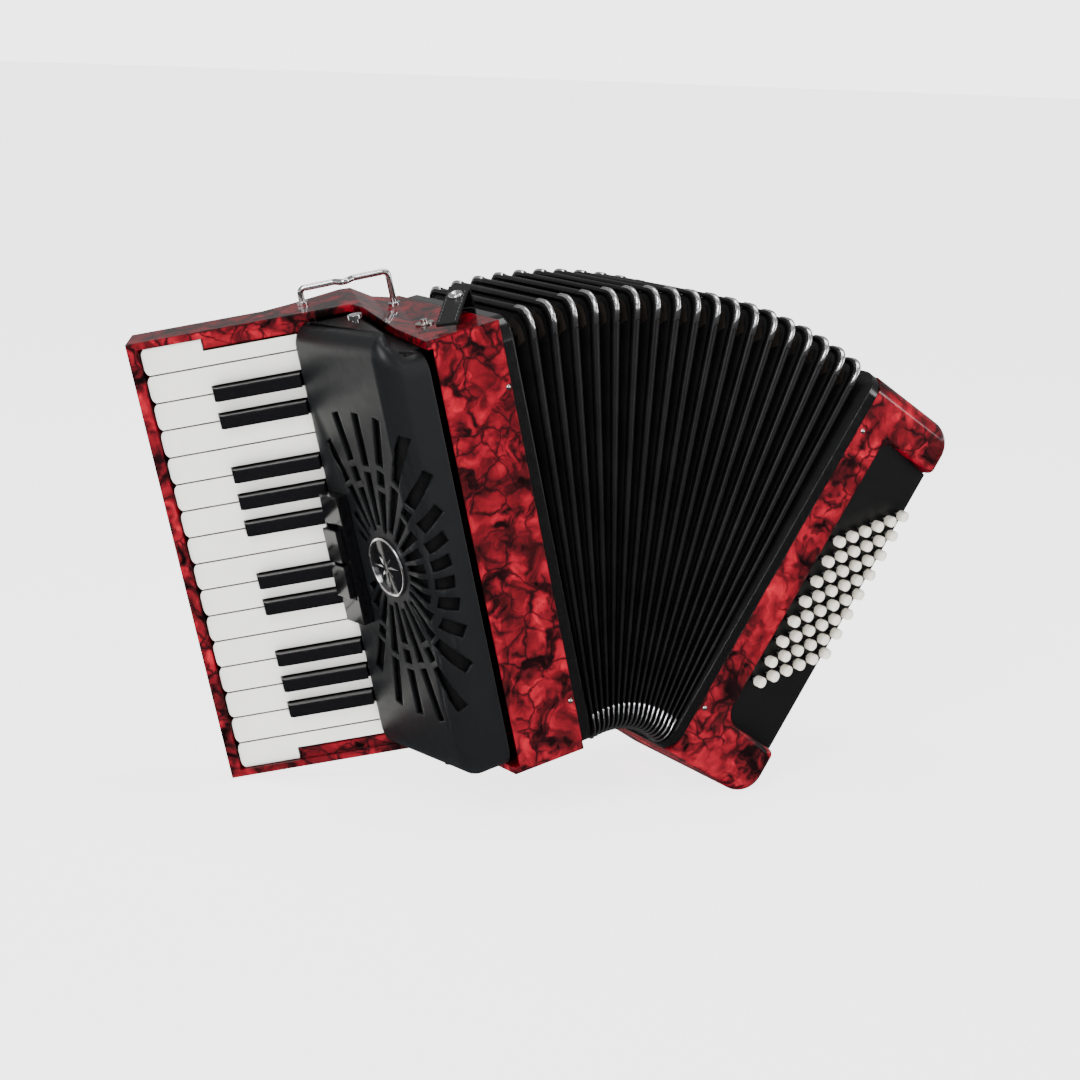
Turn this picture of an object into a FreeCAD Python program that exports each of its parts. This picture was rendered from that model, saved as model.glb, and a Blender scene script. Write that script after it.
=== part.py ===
"""A small piano accordion: 26 treble keys, 48 bass buttons, standing on the floor with its bellows fanned open.

Frame: +Z up, +X from the treble keyboard to the bass side, -Y the front of the instrument, millimetres.
The treble half is drawn in its own upright frame and leaned over as one; the bass half is drawn the same way
and turned about the fan pole, the point under the bellows where all its fold planes meet.
"""
import FreeCAD, Part
import math
import os

import Sketcher
from FreeCAD import Placement, Rotation, Vector

DIMENSIONS = {
    # whole instrument
    "treble_lean": 14.5, "fan_angle": 47.1, "closed_gap": 60.0, "pole_run": 30.4, "pole_drop": 26.3,
    "centre_shift_x": -16.2, "centre_shift_y": -99.0, "floor_lift": 50.5,
    # treble case
    "treble_height": 335.0, "frame_height": 318.0, "case_depth": 156.0, "strip_width": 55.0, "case_wall": 5.0,
    "ramp_run": 34.0, "frame_thick": 8.0, "frame_wall": 12.0, "frame_round": 16.0,
    # keyboard, measured along the keys from the free ends
    "key_angle": 30.0, "key_corner_x": -192.7, "key_corner_y": 177.8, "key_pitch": 20.27, "key_margin": 5.3,
    "key_gap": 1.0, "key_play": 110.0, "key_thick": 8.0, "key_pivot": 124.0, "black_start": 45.0,
    "black_width": 9.6, "black_rise": 8.0, "rail_width": 8.7, "rail_proud": 2.5, "wing_depth": 28.0,
    "wing_run": 162.5, "arm_width": 4.0, "pallet_thick": 5.0, "axle_radius": 1.5, "axle_play": 0.06,
    # grille and what is on it
    "grille_wall": 2.5, "grille_round": 15.0, "slot_width": 9.0,
    "slot_side": 66.0, "slot_high": 112.0, "emblem_radius": 22.0,
    # bellows
    "folds": 19.0, "fold_depth": 15.0, "cloth": 2.0, "corner_cut": 13.0,
    # bass side
    "bass_depth": 86.0, "board_low": 41.0, "board_high": 282.0, "board_step": 26.0, "board_slope": 12.0,
    "button_radius": 4.2, "button_rise": 11.0, "button_pitch": 17.1, "row_pitch": 9.6, "row_climb": 9.2,
}

doc = FreeCAD.newDocument("accordion")
sheet = doc.addObject("Spreadsheet::Sheet", "Dims")
for line, (word, number) in enumerate(DIMENSIONS.items(), start=1):
    sheet.set(f"A{line}", word)
    sheet.set(f"B{line}", str(number))
    sheet.setAlias(f"B{line}", word)
doc.recompute()

parts = {}


class Size:
    """A length or an angle known both as a number and as a spreadsheet expression."""

    def __init__(self, value, text):
        self.value = value
        self.text = text

    @staticmethod
    def of(thing):
        return thing if isinstance(thing, Size) else Size(float(thing), f"({float(thing):.6g})")

    def __add__(self, other):
        other = Size.of(other)
        return Size(self.value + other.value, f"({self.text} + {other.text})")

    def __sub__(self, other):
        other = Size.of(other)
        return Size(self.value - other.value, f"({self.text} - {other.text})")

    def __mul__(self, other):
        other = Size.of(other)
        return Size(self.value * other.value, f"({self.text} * {other.text})")

    def __radd__(self, other):
        return Size.of(other) + self

    def __rsub__(self, other):
        return Size.of(other) - self

    __rmul__ = __mul__

    def __neg__(self):
        return Size(-self.value, f"(-1 * {self.text})")


def dim(word):
    return Size(float(sheet.get(word)), f"Dims.{word}")


def bind(thing, name, size):
    size = Size.of(size)
    setattr(thing, name, size.value)
    if "Dims." in size.text:
        thing.setExpression(name, size.text)


# ---------------------------------------------------------------- frames
def number(word):
    return float(sheet.get(word))


def treble_frame():
    """The treble half's own frame, leaned over and lifted so that its low corner meets the floor."""
    base = Vector(number("centre_shift_x"), number("centre_shift_y"), number("floor_lift"))
    return Placement(base, Rotation(Vector(0, 1, 0), -number("treble_lean")))


def fold_frame(share):
    """The plane of the bellows at a share of the way from the treble case to the bass case."""
    run = number("pole_run")
    offset = -run + number("closed_gap") * share
    pole = Placement(Vector(run, 0, -number("pole_drop")), Rotation(Vector(0, 1, 0), number("fan_angle") * share))
    return treble_frame() * pole * Placement(Vector(offset, 0, number("pole_drop")), Rotation())


TREBLE = treble_frame()
BASS = fold_frame(1.0)
KEYS = TREBLE * Placement(
    Vector(number("key_corner_x"), number("key_corner_y"), 0), Rotation(Vector(0, 0, 1), -number("key_angle")))
FACE_FOOT = Vector(-102.3, 114.6, 0)
FACE_RIDGE = Vector(-91.0, 16.5, 0)
FACE_TURN = math.degrees(math.atan2(FACE_RIDGE.y - FACE_FOOT.y, FACE_RIDGE.x - FACE_FOOT.x))
FACE = TREBLE * Placement(FACE_FOOT, Rotation(Vector(0, 0, 1), FACE_TURN))
BOARD = BASS * Placement(
    Vector(number("board_step"), 2.0, 0), Rotation(Vector(0, 0, 1), number("board_slope")))
EMBLEM_AT = (62.0, 160.0)
RAYS = 26
RAMP_START = Vector(-61.0, 92.0, 0)
RAMP_TURN = -18.0


# ---------------------------------------------------------------- makers
def keep(label, thing, frame):
    """Names a finished sub-part and puts it in its place."""
    thing.Label = label
    thing.Placement = frame * thing.Placement
    parts[label] = thing
    return thing


def box(length, width, height, corner=(0, 0, 0), turn=0.0):
    made = doc.addObject("Part::Box", "block")
    bind(made, "Length", length)
    bind(made, "Width", width)
    bind(made, "Height", height)
    at = [Size.of(value) for value in corner]
    made.Placement = Placement(Vector(*(size.value for size in at)), Rotation(Vector(0, 0, 1), turn))
    for axis, size in zip("xyz", at):
        if "Dims." in size.text:
            made.setExpression(f"Placement.Base.{axis}", size.text)
    return made


def cylinder(radius, height, base=(0, 0, 0), along=(0, 0, 1)):
    made = doc.addObject("Part::Cylinder", "round")
    bind(made, "Radius", radius)
    bind(made, "Height", height)
    made.Placement = Placement(Vector(*base), Rotation(Vector(0, 0, 1), Vector(*along)))
    return made


def cut(base, tool):
    made = doc.addObject("Part::Cut", "cut")
    made.Base = base
    made.Tool = tool
    return made


def fuse(*pieces):
    made = doc.addObject("Part::MultiFuse", "joined")
    made.Shapes = list(pieces)
    return made


def group(*pieces):
    made = doc.addObject("Part::Compound", "group")
    made.Links = list(pieces)
    return made


def prism(outline, height, base=0.0, plane="XY_Plane", both_ways=False):
    """A PartDesign body: a closed outline of corner points, each tied to the sheet, padded to a height."""
    body = doc.addObject("PartDesign::Body", "body")
    sketch = body.newObject("Sketcher::SketchObject", "outline")
    origin = next(item for item in body.Origin.OriginFeatures if item.Role == plane)
    sketch.AttachmentSupport = [(origin, "")]
    sketch.MapMode = "FlatFace"
    corners = [(Size.of(x), Size.of(y)) for x, y in outline]
    points = [Vector(x.value, y.value, 0) for x, y in corners]
    count = len(points)
    for index in range(count):
        sketch.addGeometry(Part.LineSegment(points[index], points[(index + 1) % count]), False)
    for index in range(count):
        sketch.addConstraint(Sketcher.Constraint("Coincident", index, 2, (index + 1) % count, 1))
    for index, (x, y) in enumerate(corners):
        for kind, size in (("DistanceX", x), ("DistanceY", y)):
            place = sketch.addConstraint(Sketcher.Constraint(kind, -1, 1, index, 1, size.value))
            if "Dims." in size.text:
                sketch.setExpression(f"Constraints[{place}]", size.text)
    doc.recompute()
    pad = body.newObject("PartDesign::Pad", "pad")
    pad.Profile = sketch
    bind(pad, "Length", height)
    pad.Midplane = both_ways
    body.Tip = pad
    low = Size.of(base)
    body.Placement.Base = Vector(0, 0, low.value)
    if "Dims." in low.text:
        body.setExpression("Placement.Base.z", low.text)
    return body


def shaped(label, shape, frame):
    """A sub-part whose outline neither a sketch nor a primitive gives; its sizes come from the sheet."""
    made = doc.addObject("Part::Feature", "shape")
    made.Shape = shape
    return keep(label, made, frame)


def rounded(shape, radius, wanted):
    """Fillets the edges whose middle the test accepts."""
    edges = []
    for edge in shape.Edges:
        middle = edge.valueAt((edge.FirstParameter + edge.LastParameter) / 2)
        if wanted(edge, middle):
            edges.append(edge)
    return shape.makeFillet(radius, edges)


def upright(edge):
    ends = edge.Vertexes
    return len(ends) == 2 and abs(ends[0].Z - ends[1].Z) > 0.9 * edge.Length


def polygon_prism(points, low, high):
    wire = Part.makePolygon([Vector(x, y, low) for x, y in points + points[:1]])
    return Part.Face(wire).extrude(Vector(0, 0, high - low))


def skin(quads):
    """A closed solid from four-cornered patches, each split into two flat triangles."""
    faces = []
    for a, b, c, d in quads:
        for triangle in ((a, b, c), (a, c, d)):
            faces.append(Part.Face(Part.makePolygon([*triangle, triangle[0]])))
    shell = Part.makeShell(faces)
    solid = Part.makeSolid(shell)
    if solid.Volume < 0:
        solid.reverse()
    return solid


# ---------------------------------------------------------------- treble case
def ramp(drop):
    """What is cut off the case's top, which steps down from the keyboard to the bellows; drop lowers it."""
    top = dim("treble_height")
    low = dim("frame_height")
    body = prism([(-4, top + 30), (-4, top - drop), (4, top - 1.2 - drop),
                  (dim("ramp_run") * 0.55, low + 5.2 - drop), (dim("ramp_run"), low - drop),
                  (150, low - drop), (150, top + 30)],
                 600, plane="XZ_Plane", both_ways=True)
    body.Placement = Placement(RAMP_START, Rotation(Vector(0, 0, 1), RAMP_TURN))
    return body


def wing_point(along, out):
    """A plan point of the keyboard wing as sizes: along the keys, and out of their plane."""
    turn = math.radians(number("key_angle"))
    run = Size.of(along)
    rise = Size.of(out)
    x = dim("key_corner_x") + run * math.cos(turn) - rise * math.sin(turn)
    y = dim("key_corner_y") - run * math.sin(turn) - rise * math.cos(turn)
    return x, y


def treble_case():
    rail = -dim("rail_width")
    depth = dim("case_depth")
    outline = [(0, 0), (-dim("strip_width"), 2), wing_point(rail + dim("wing_run"), dim("rail_proud")),
               wing_point(rail, dim("rail_proud")), wing_point(rail, -dim("wing_depth")),
               wing_point(rail + 95.0, -dim("wing_depth")), (-84, depth), (0, depth)]
    outer = prism(outline, dim("treble_height"))
    wall = dim("case_wall")
    bed = 4.0 - dim("wing_depth")
    recess = [(1, wall), (-dim("strip_width") + 5, wall), (-dim("strip_width") - 2, -20), (-250, 20),
              wing_point(-1.0, 60), wing_point(-1.0, bed), wing_point(95.0, bed),
              (-84, depth - wall), (1, depth - wall)]
    keys_room = prism(recess, dim("treble_height") - 10.4, base=5.2)
    body = cut(cut(outer, ramp(0)), cut(keys_room, ramp(6.0)))
    notch = dim("key_play") - dim("black_start") + 12
    fillers = []
    for low in (Size.of(5.0), dim("treble_height") - 13.0):
        filler = box(notch, 17, 8.0, (0, 0, low))
        filler.Placement.Base = Vector(number("black_start"), 0, low.value)
        filler.Placement = Placement(
            Vector(number("key_corner_x"), number("key_corner_y"), 0),
            Rotation(Vector(0, 0, 1), -number("key_angle"))) * filler.Placement
        fillers.append(filler)
    keep("treble_case", fuse(body, *fillers), TREBLE)


def keyboard_bed():
    """The wooden board under the keys, with the felted stop rail."""
    board = box(112, 6.0, dim("treble_height") - 12.0, (0, 17.5, 6.0))
    rail = box(14, 3.0, dim("treble_height") - 12.0, (8, 14.5, 6.0))
    keep("keyboard_bed", fuse(board, rail), KEYS)
    axle = cylinder(dim("axle_radius"), dim("treble_height") - 10.6, (number("key_pivot"), 8, 5.3))
    keep("key_axle", axle, KEYS)


PALLET_TURN = FACE_TURN + number("key_angle")


def key(label, low, high, cuts, black, stretch):
    """One key with its bush, its arm and the pallet it lifts, in the keyboard frame.

    low and high are its edges along the keyboard, cuts the widths taken off the rear by its neighbours,
    stretch how far along the pallet board its pallet sits.
    """
    pivot = number("key_pivot")
    rear = pivot + 4.0
    start = number("black_start")
    thick = number("key_thick")
    if black:
        outline = [(start, low), (rear, low), (rear, high), (start, high)]
        top = -number("black_rise")
    else:
        near, far = cuts
        outline = [(0.0, low), (start - 1.2, low), (start - 1.2, low + near), (rear, low + near),
                   (rear, high - far), (start - 1.2, high - far), (start - 1.2, high), (0.0, high)]
        top = 0.0
    if black:
        side = [(start, thick - 1), (start, top + 2.2), (start + 3.0, top + 0.4), (rear - 20, top),
                (rear - 20, 3.5), (rear, 3.5), (rear, 12.0), (pivot - 4, 12.0), (pivot - 4, thick - 1)]
    else:
        side = [(0.0, thick), (0.0, top), (number("key_play") + 3, top), (number("key_play") + 3, 3.5),
                (rear, 3.5), (rear, 12.0), (pivot - 4, 12.0), (pivot - 4, thick)]
    flat = polygon_prism([(x, y) for x, y in side], min(low, high), max(low, high))
    plan = Part.Face(Part.makePolygon([Vector(x, -30, y) for x, y in outline + outline[:1]]))
    body = flat.common(plan.extrude(Vector(0, 60, 0)))
    middle = (low + high) / 2 if black else (low + cuts[0] + high - cuts[1]) / 2
    bore = Part.makeCylinder(number("axle_radius") + number("axle_play"), 40, Vector(pivot, 8, middle - 20))
    arm_width = number("arm_width")
    arm = Part.makeBox(stretch + 10, 1.6, arm_width, Vector(0, -0.8, middle - arm_width / 2))
    pallet = Part.makeBox(20, number("pallet_thick"), 10, Vector(stretch - 12, 0.7, middle - 5))
    lever = arm.fuse(pallet)
    lever.Placement = Placement(Vector(pivot + 1, 5, 0), Rotation(Vector(0, 0, 1), PALLET_TURN))
    shape = body.fuse(lever).removeSplitter().cut(bore)
    shaped(label, shape, KEYS)


BLACK_AFTER = (2, 3, 5, 6, 7, 9, 10, 12, 13, 14)
WHITE_COUNT = 16


def white_edge(index):
    """Height of the line between two white keys, counted from the top of the keyboard."""
    return number("key_margin") + number("key_pitch") * (WHITE_COUNT - index)


def keyboard():
    half_gap = number("key_gap") / 2
    shade = number("black_width") / 2 + 1.0
    for index in range(1, WHITE_COUNT + 1):
        low = white_edge(index) + half_gap
        high = white_edge(index - 1) - half_gap
        near = shade - half_gap if index in BLACK_AFTER else 0.0
        far = shade - half_gap if index - 1 in BLACK_AFTER else 0.0
        if index == 1:
            far = 8.6
        if index == WHITE_COUNT:
            near = 8.6
        key(f"key_white_{index:02d}", low, high, (near, far), False, 34.0)
    for place, index in enumerate(BLACK_AFTER, start=1):
        middle = white_edge(index)
        half = number("black_width") / 2
        key(f"key_black_{place:02d}", middle - half, middle + half, (0, 0), True, 68.0)


def reed_parts():
    """The foundation board that the pallets close, and the reed blocks behind it."""
    face = TREBLE.inverse() * FACE
    length = FACE_FOOT.distanceToPoint(FACE_RIDGE)
    board = box(length - 10, 7.0, dim("treble_height") - 24.0, (3.0, 0, 12.0))
    board.Placement = face * Placement(Vector(0, 26.9, 0), Rotation()) * board.Placement
    keep("pallet_board", cut(board, ramp(15.0)), TREBLE)
    blocks = [box(length - 42, 12.0, dim("frame_height") - 60.0, (12.0, 34.0 + 13.0 * row, 24.0))
              for row in (0, 1)]
    keep("treble_reed_blocks", group(*blocks), FACE)


# ---------------------------------------------------------------- grille
def grille_solid(inset):
    """The grille's outer form, or with its wall as inset the room inside it, open towards the case."""
    edge = -number("strip_width") - 1.2
    front = 1.5 + inset
    radius = number("grille_round") - inset
    side = FACE_RIDGE.x + inset
    corner = radius * math.sqrt(0.5)
    centre = Vector(side + radius, front + radius, 0)
    foot = FACE_FOOT + Vector(inset, 0, 0)
    if inset:
        back = [Vector(foot.x + 2, 150, 0), Vector(edge + 10, 150, 0)]
        start = Vector(edge + 10, front, 0)
    else:
        back = [FACE_FOOT + Vector(10.4, -6, 0), Vector(edge, 90, 0)]
        start = Vector(edge, front, 0)
    first = Vector(centre.x, front, 0)
    last = Vector(side, centre.y, 0)
    lines = [Part.LineSegment(start, first), Part.Arc(first, centre - Vector(corner, corner, 0), last)]
    stops = [last, foot, *back, start]
    lines += [Part.LineSegment(here, there) for here, there in zip(stops[:-1], stops[1:])]
    outline = Part.Face(Part.Wire([line.toShape() for line in lines]))
    low = 6.2 + inset
    outline.translate(Vector(0, 0, low))
    solid = outline.extrude(Vector(0, 0, number("treble_height") - 6.4 - inset - low))
    top = number("treble_height")
    floor = number("frame_height")
    drop = 6.6 + inset
    profile = [(-4, top + 30), (-4, top - drop), (number("ramp_run") * 0.55, floor + 5.0 - drop),
               (number("ramp_run"), floor - drop), (150, floor - drop), (150, top + 30)]
    wedge = Part.Face(Part.makePolygon([Vector(x, -200, z) for x, z in profile + profile[:1]]))
    wedge = wedge.extrude(Vector(0, 400, 0))
    wedge.Placement = Placement(RAMP_START, Rotation(Vector(0, 0, 1), RAMP_TURN))
    return solid.cut(wedge)


def grille_place(along, up):
    """Where a point of the grille's skin is: along it from the key line round to the strip, and its height."""
    flat = FACE_FOOT.distanceToPoint(FACE_RIDGE)
    radius = number("grille_round")
    bend = radius * math.pi / 2
    if along <= flat:
        base = FACE_FOOT + (FACE_RIDGE - FACE_FOOT) * (along / flat)
        turn = FACE_TURN
    elif along < flat + bend:
        angle = math.pi / 2 * (along - flat) / bend
        base = FACE_RIDGE + Vector(radius * (1 - math.cos(angle)), -radius * math.sin(angle), 0)
        turn = math.degrees(angle) - 90
    else:
        base = FACE_RIDGE + Vector(radius + along - flat - bend, -radius, 0)
        turn = 0.0
    return Placement(base + Vector(0, 0, up), Rotation(Vector(0, 0, 1), turn))


def ray_reach(turn):
    """How far the slots of one ray may run from the emblem's centre before the rim or the register housing."""
    run = math.cos(turn)
    rise = math.sin(turn)
    side = number("slot_side") if run > 0 else number("slot_side") - 15.0
    reach = (abs(run / side) ** 4 + abs(rise / number("slot_high")) ** 4) ** -0.25
    inside = number("emblem_radius") + 5.0
    while inside < reach:
        if EMBLEM_AT[0] + run * inside < 31 and abs(rise * inside) < 54:
            return inside
        inside += 1.0
    return reach


def slot_bar(turn, start, end):
    """Cutters for one slot of a ray, in short straight lengths so that they follow the skin round the ridge."""
    cutters = []
    parts = max(1, math.ceil(abs(math.cos(turn)) * (end - start) / 6.0))
    length = (end - start) / parts
    for part in range(parts):
        middle = start + length * (part + 0.5)
        corners = []
        for over, side in ((-1, -1), (1, -1), (1, 1), (-1, 1)):
            out = over * (length / 2 + 0.3)
            half = side * min(max((middle + out) * math.tan(math.radians(4.3)), 1.9), number("slot_width") / 2)
            corners.append(Vector(out * math.cos(turn) - half * math.sin(turn), -4.0,
                                  out * math.sin(turn) + half * math.cos(turn)))
        bar = Part.Face(Part.makePolygon(corners + corners[:1])).extrude(Vector(0, 9, 0))
        bar.Placement = grille_place(EMBLEM_AT[0] + middle * math.cos(turn),
                                     EMBLEM_AT[1] + middle * math.sin(turn))
        cutters.append(bar)
    return cutters


def slot_cutters():
    """The slots that fan out from round the emblem, broken up into lengths that differ from ray to ray."""
    cutters = []
    inner = number("emblem_radius") + 5.0
    for ray in range(RAYS):
        turn = 2 * math.pi * (ray + 0.5) / RAYS
        length = ray_reach(turn) - inner
        if length > 60:
            spans = ((0, 0.36), (0.42, 0.54), (0.60, 1.0)) if ray % 2 else ((0.05, 0.50), (0.56, 1.0))
        elif length > 24:
            spans = ((0, 0.50), (0.64, 1.0))
        elif length > 8:
            spans = ((0, 1.0),)
        else:
            spans = ()
        for start, end in spans:
            cutters += slot_bar(turn, inner + length * start, inner + length * end)
    return cutters


def grille():
    cover = grille_solid(0.0).cut(grille_solid(number("grille_wall")))
    cover = cover.cut(slot_cutters())
    keep_solid = max(cover.Solids, key=lambda solid: solid.Volume)
    shaped("treble_grille", keep_solid, TREBLE)
    side_gauze = box(82, 0.8, 250, (12, 4.2, 32))
    side_gauze.Placement = TREBLE.inverse() * FACE * side_gauze.Placement
    front_gauze = box(18, 0.8, 250, (-78, 5.4, 32))
    keep("grille_gauze", group(side_gauze, front_gauze), TREBLE)
    radius = dim("emblem_radius")
    along, up = EMBLEM_AT
    rim = cylinder(radius, 1.6, (along, -0.1, up), (0, -1, 0))
    ring = cut(rim, cylinder(radius - 2.5, 5, (along, 1, up), (0, -1, 0)))
    disc = cylinder(radius - 3.0, 1.0, (along, -0.1, up), (0, -1, 0))
    keep("grille_emblem", group(ring, disc), FACE)
    knobs = []
    for low, side in ((number("treble_height") - 5.0, 1), (6.1, -1)):
        neck = cylinder(2.5, 3.0, (-76, 62, low), (0, 0, side))
        head = cylinder(5.0, 3.0, (-76, 62, low + 3.0 * side), (0, 0, side))
        knobs.append(fuse(neck, head))
    keep("grille_knobs", group(*knobs), TREBLE)


def registers():
    """The register housing with its axle, and the two rocker tabs that turn on it."""
    low = 112.0
    high = 208.0
    outer = box(24, 9.0, high - low, (2, -9.1, low))
    pocket = box(20.6, 12, 56, (4, -14.1, 131))
    axle = cylinder(1.2, 57.0, (20.5, -7.8, 130.5))
    keep("register_housing", fuse(cut(outer, pocket), axle), FACE)
    for index, base in ((1, 160.5), (2, 133.5)):
        tab = cut(box(18.0, 9.0, 24.0, (5.2, -14.0, base)), cylinder(1.26, 30.0, (20.5, -7.8, base - 3)))
        keep(f"register_tab_{index}", tab, FACE)


# ---------------------------------------------------------------- treble hardware
def wire(points, radius, bend):
    """A round bar along straight runs with bent corners."""
    path = []
    start = points[0]
    for index in range(1, len(points) - 1):
        corner = points[index]
        into = (corner - points[index - 1]).normalize()
        out = (points[index + 1] - corner).normalize()
        half = into.getAngle(out) / 2
        reach = bend * math.tan(half)
        first = corner - into * reach
        last = corner + out * reach
        bisector = (out - into).normalize()
        middle = corner + bisector * (bend / math.cos(half) - bend)
        path += [Part.LineSegment(start, first).toShape(), Part.Arc(first, middle, last).toShape()]
        start = last
    path.append(Part.LineSegment(start, points[-1]).toShape())
    spine = Part.Wire(path)
    ring = Part.Wire(Part.Circle(points[0], points[1] - points[0], radius).toShape())
    return spine.makePipeShell([ring], True, False)


def strap_brackets():
    height = number("treble_height")
    feet = (Vector(-80, 141, height + 0.1), Vector(-22, 116, number("frame_height") + 3.2))
    level = height + 11.5
    run = (feet[1] - feet[0])
    run.z = 0
    ahead = Vector(-run.y, run.x, 0).normalize() * -9.0
    third = [feet[0] + run * share for share in (0.40, 0.50, 0.60)]
    path = [feet[0], Vector(feet[0].x, feet[0].y, level), Vector(third[0].x, third[0].y, level),
            Vector(third[1].x, third[1].y, level) + ahead, Vector(third[2].x, third[2].y, level),
            Vector(feet[1].x, feet[1].y, level), feet[1]]
    bar = wire(path, 2.2, 3.4)
    bar = bar.fuse([Part.makeCylinder(4.2, 2.4, foot) for foot in feet])
    shaped("strap_bracket_top", bar, TREBLE)
    back = number("case_depth")
    low_path = [Vector(-60, back + 0.05, 40), Vector(-60, back + 13, 40),
                Vector(-22, back + 13, 40), Vector(-22, back + 0.05, 40)]
    shaped("strap_bracket_bottom", wire(low_path, 2.0, 4.0), TREBLE)


def bellows_frame(label, frame, start):
    """A rounded rectangular ring that the bellows is sealed to."""
    depth = number("case_depth")
    height = number("frame_height")
    wall = number("frame_wall")
    radius = number("frame_round")
    thick = number("frame_thick")
    outer = Part.makeBox(thick, depth, height)
    outer = rounded(outer, radius, lambda edge, middle: abs(middle.x - thick / 2) < 0.01)
    inner = Part.makeBox(thick + 2, depth - 2 * wall, height - 2 * wall, Vector(-1, wall, wall))
    ring = outer.cut(rounded(inner, radius - 8, lambda edge, middle: abs(middle.x - thick / 2) < 0.01))
    ring.translate(Vector(start, 0, 0))
    shaped(label, ring, frame)


def pins(label, frame, places):
    """Small domed pins that hold a case to its bellows frame, at the front."""
    made = []
    for x, z in places:
        dome = Part.makeSphere(2.3, Vector(x, 1.1, z))
        made.append(dome.common(Part.makeBox(6, 3, 6, Vector(x - 3, -3, z - 3))))
    shaped(label, Part.makeCompound(made), frame)


def closure_straps():
    """Two short leather tabs that hold the bellows shut; here they hang open on the treble case."""
    top = number("frame_height")
    width = 15.0
    points = [Vector(-31, 16, top + 2.4), Vector(-2, 50, top + 14), Vector(3, 57, top + 15),
              Vector(5.4, 60, top + 0.2)]
    solids = []
    side = Vector(38, -34, 0).normalize() * (width / 2)
    for first, last in zip(points[:-1], points[1:]):
        rise = Vector(0, 0, 2.4)
        if abs(last.z - first.z) > 10 and last.x > 4:
            rise = Vector(-2.2, -2.4, 0.4)
        corners = [first + side, last + side, last - side, first - side]
        top_corners = [corner + rise for corner in corners]
        quads = [tuple(reversed(corners)), tuple(top_corners)]
        for index in range(4):
            after = (index + 1) % 4
            quads.append((corners[index], corners[after], top_corners[after], top_corners[index]))
        solids.append(skin(quads))
    strap = solids[0].fuse(solids[1:])
    low = Part.makeBox(52, width, 2.4, Vector(-46, 60, -2.4))
    shaped("closure_straps", Part.makeCompound([strap, low]), TREBLE)
    plate = Part.makeCylinder(6.5, 1.0, Vector(-31.5, 50, top + 0.1))
    stud = Part.makeCylinder(2.6, 3.4, Vector(-31.5, 50, top + 0.1))
    shaped("snap_plate", plate.fuse(stud), TREBLE)


# ---------------------------------------------------------------- bellows
def bellows_loop(share, inset):
    """Eight corner points of a fold's outline in one plane of the fan."""
    offset_share = (number("frame_thick") + (number("closed_gap") - 2 * number("frame_thick")) * share)
    plane = treble_frame().inverse() * fold_frame(0)
    run = number("pole_run")
    pole = Placement(Vector(run, 0, -number("pole_drop")), Rotation(Vector(0, 1, 0), number("fan_angle") * share))
    local = plane * pole
    offset = -run + offset_share
    drop = number("pole_drop")
    low = inset
    high = number("frame_height") - inset
    back = number("case_depth") - inset
    cut_off = number("corner_cut")
    loop = [(inset + cut_off, low), (back - cut_off, low), (back, low + cut_off), (back, high - cut_off),
            (back - cut_off, high), (inset + cut_off, high), (inset, high - cut_off), (inset, low + cut_off)]
    return [local.multVec(Vector(offset, y, drop + height)) for y, height in loop]


def bellows():
    folds = int(number("folds"))
    depth = number("fold_depth")
    cloth = number("cloth")
    stations = []
    for step in range(2 * folds + 1):
        inset = 1.0 if step % 2 == 0 else 1.0 + depth
        stations.append((step / (2 * folds), inset))
    stations[0] = (0.002, 1.0)
    stations[-1] = (0.998, 1.0)
    outer = [bellows_loop(share, inset) for share, inset in stations]
    inner = [bellows_loop(share, inset + cloth) for share, inset in stations]
    quads = []
    for index in range(len(stations) - 1):
        for corner in range(8):
            after = (corner + 1) % 8
            quads.append((outer[index][corner], outer[index + 1][corner],
                          outer[index + 1][after], outer[index][after]))
            quads.append((inner[index][corner], inner[index][after],
                          inner[index + 1][after], inner[index + 1][corner]))
    for corner in range(8):
        after = (corner + 1) % 8
        quads.append((outer[0][corner], outer[0][after], inner[0][after], inner[0][corner]))
        quads.append((outer[-1][corner], inner[-1][corner], inner[-1][after], outer[-1][after]))
    shaped("bellows_folds", skin(quads), TREBLE)
    metal = []
    for fold in range(1, folds):
        share = fold / folds
        spread = 0.18 / folds
        loops = [(bellows_loop(share - spread, 0.9), bellows_loop(share - spread, -0.1)),
                 (bellows_loop(share + spread, 0.9), bellows_loop(share + spread, -0.1))]
        for corner in (1, 3, 5, 7):
            after = (corner + 1) % 8
            ring = []
            for inside, outside in loops:
                ring.append([inside[corner], inside[after], outside[after], outside[corner]])
            first, second = ring
            faces = [tuple(first), tuple(reversed(second))]
            for index in range(4):
                following = (index + 1) % 4
                faces.append((first[following], first[index], second[index], second[following]))
            metal.append(skin(faces))
    shaped("bellows_corners", Part.makeCompound(metal), TREBLE)


# ---------------------------------------------------------------- bass side
def board_line(extra):
    """Plan corners in front of the button board, with extra clearance behind its face."""
    turn = math.radians(number("board_slope"))
    step = number("board_step")
    reach = number("bass_depth") - step + 25
    return [(step, -20), (step, 2 + extra), (step + reach * math.cos(turn), 2 + extra + reach * math.sin(turn)),
            (step + reach, -20)]


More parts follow.
